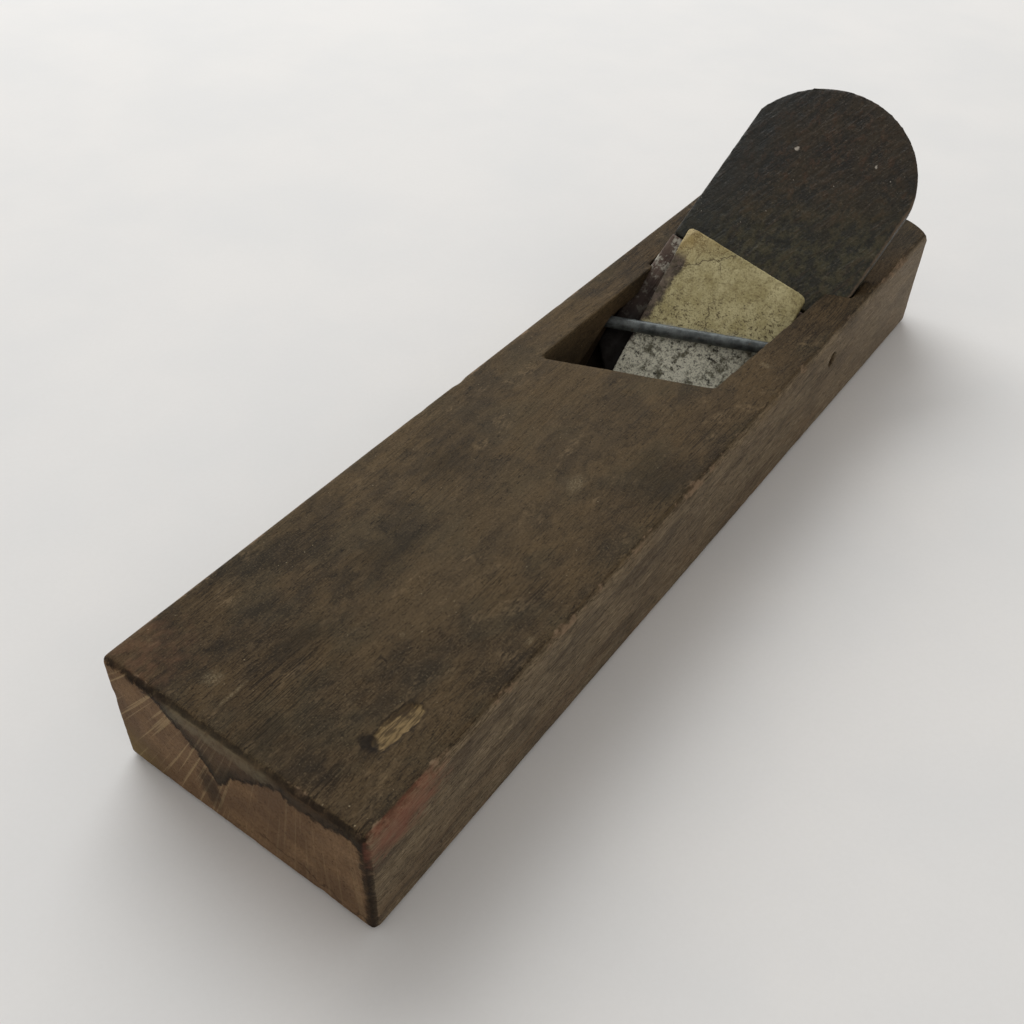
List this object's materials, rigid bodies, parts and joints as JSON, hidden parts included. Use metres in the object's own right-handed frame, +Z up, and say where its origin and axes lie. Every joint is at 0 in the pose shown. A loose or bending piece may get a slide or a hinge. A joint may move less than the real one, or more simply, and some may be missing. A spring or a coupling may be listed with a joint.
{
  "type": "wooden pull plane",
  "caption": "Long oak block plane with a skewed throat, a leaning round-headed wedge iron, a flat chip breaker on its face and a cross pin over both.",
  "frame": {"origin": "middle of the sole, on the surface that the plane stands on", "axes": "+Z up from the sole, +Y along the block towards its tail, the way the iron leans, +X to the right looking along +Y; the plane is pulled towards -Y"},
  "size_m": [0.064, 0.2436, 0.066],
  "materials": {
    "oak": "old bare oak, worn and hand-stained, with open pores along the block",
    "forged_iron": "black forge scale browned by rust, with fine scratches",
    "hard_steel": "ground and dulled, spotted with old rust",
    "lacquered_steel": "yellowed cracked lacquer over ground steel, worn grey towards the lip",
    "steel_wire": "dull blue-grey drawn rod"
  },
  "bodies": {
    "block": {"plane_body": "oak", "cross_pin": "steel_wire"},
    "iron": {"iron_body": "forged_iron", "iron_steel_facing": "hard_steel"},
    "chip_breaker": {"chip_breaker": "lacquered_steel"}
  },
  "joints": [
    {"name": "iron_slide", "type": "slide", "parent": "block", "child": "iron", "axis": [0.1121, 0.7983, 0.5917], "range_m": [-0.0022, 0.065]},
    {"name": "chip_breaker_slide", "type": "slide", "parent": "block", "child": "chip_breaker", "axis": [0, 0.7872, 0.6167], "range_m": [-0.0012, 0.055]}
  ]
}
